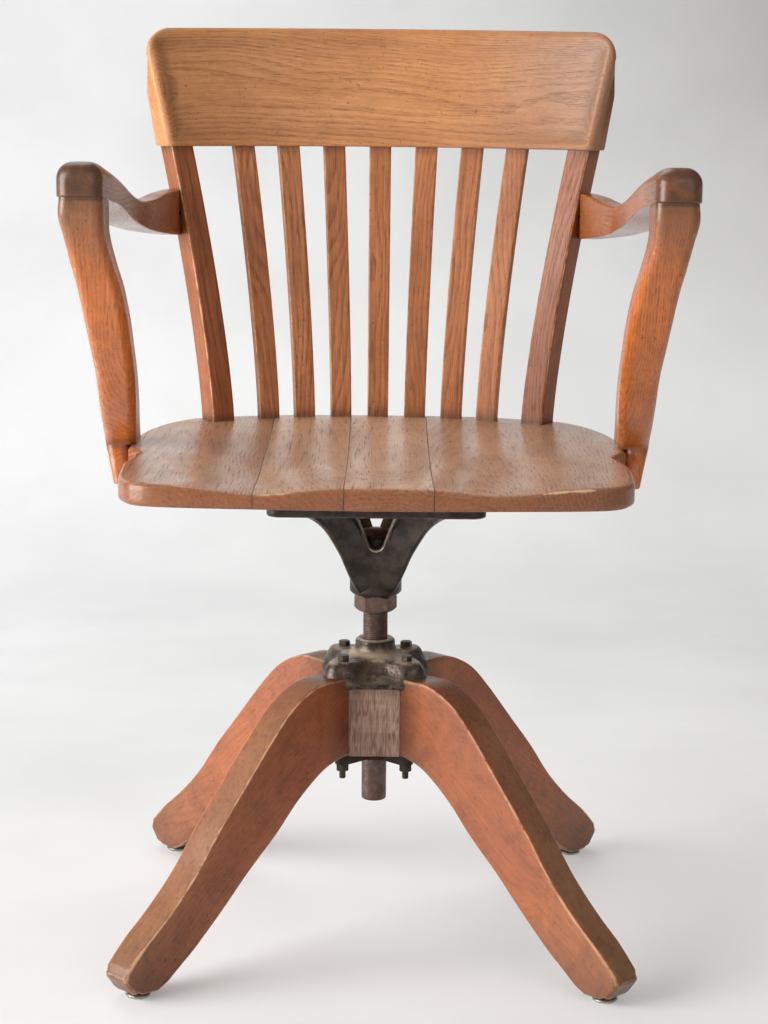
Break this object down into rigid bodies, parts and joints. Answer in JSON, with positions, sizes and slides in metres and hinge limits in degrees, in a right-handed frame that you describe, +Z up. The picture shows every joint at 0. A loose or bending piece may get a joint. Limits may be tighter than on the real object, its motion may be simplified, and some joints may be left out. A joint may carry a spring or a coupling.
{
  "type": "swivel armchair",
  "caption": "Wooden desk armchair with a slatted, fanned back, scrolled arms and a saddle seat that turns and screws up and down on a base of splayed legs.",
  "frame": {"origin": "on the floor under the middle of the part's box; the spindle's axis is 30.7 mm in front of it", "axes": "+Z up, -Y the way the sitter faces, +X to the right in a view from the front"},
  "size_m": [0.583, 0.562, 0.904],
  "materials": {
    "leg_oak": "old reddish brown oak with pale worn edges",
    "glide_metal": "pale nickelled steel",
    "block_wood": "grey-brown rough wood",
    "cast_iron": "black-brown japanned cast iron with worn rims",
    "bolt_steel": "dark oiled steel",
    "spindle_steel": "rust-brown oiled steel",
    "seat_oak": "matte worn greyish oak",
    "arm_oak": "glossy red-orange oak",
    "back_oak": "satin orange-brown oak"
  },
  "bodies": {
    "base": {"leg_front_right": "leg_oak", "glide_front_right": "glide_metal", "filler_block_front": "block_wood", "leg_back_right": "leg_oak", "glide_back_right": "glide_metal", "filler_block_right": "block_wood", "leg_back_left": "leg_oak", "glide_back_left": "glide_metal", "filler_block_back": "block_wood", "leg_front_left": "leg_oak", "glide_front_left": "glide_metal", "filler_block_left": "block_wood", "hub_cap": "cast_iron", "lower_plate": "cast_iron", "hub_bolt_front_right": "bolt_steel", "hub_nut_front_right": "bolt_steel", "hub_bolt_back_right": "bolt_steel", "hub_nut_back_right": "bolt_steel", "hub_bolt_back_left": "bolt_steel", "hub_nut_back_left": "bolt_steel", "hub_bolt_front_left": "bolt_steel", "hub_nut_front_left": "bolt_steel"},
    "spindle": {"spindle": "spindle_steel"},
    "seat": {"lock_nut": "spindle_steel", "seat_iron": "cast_iron", "arm_support_right": "arm_oak", "arm_right": "arm_oak", "arm_dowel_right": "arm_oak", "back_post_right": "back_oak", "arm_screw_right": "bolt_steel", "support_screw_right_front": "bolt_steel", "support_screw_right_back": "bolt_steel", "arm_support_left": "arm_oak", "arm_left": "arm_oak", "arm_dowel_left": "arm_oak", "back_post_left": "back_oak", "arm_screw_left": "bolt_steel", "support_screw_left_front": "bolt_steel", "support_screw_left_back": "bolt_steel", "slat_1": "back_oak", "slat_2": "back_oak", "slat_3": "back_oak", "slat_4": "back_oak", "slat_5": "back_oak", "slat_6": "back_oak", "slat_7": "back_oak", "crest_rail": "back_oak", "seat_board_1": "seat_oak", "seat_board_2": "seat_oak", "seat_board_3": "seat_oak", "seat_board_4": "seat_oak", "iron_screw_back_right": "bolt_steel", "iron_screw_front_right": "bolt_steel", "iron_screw_back_left": "bolt_steel", "iron_screw_front_left": "bolt_steel"}
  },
  "joints": [
    {"name": "spindle_lift", "type": "slide", "parent": "base", "child": "spindle", "axis": [0, 0, 1], "range_m": [-0.029, 0.07]},
    {"name": "seat_turn", "type": "hinge", "parent": "spindle", "child": "seat", "pos_m": [0, -0.03072, 0.35], "axis": [0, 0, 1], "range_deg": [-4995, 12330]}
  ],
  "couplings": [
    {"joint": "spindle_lift", "follows": "seat_turn", "m_per_rad": 0.00031831}
  ]
}
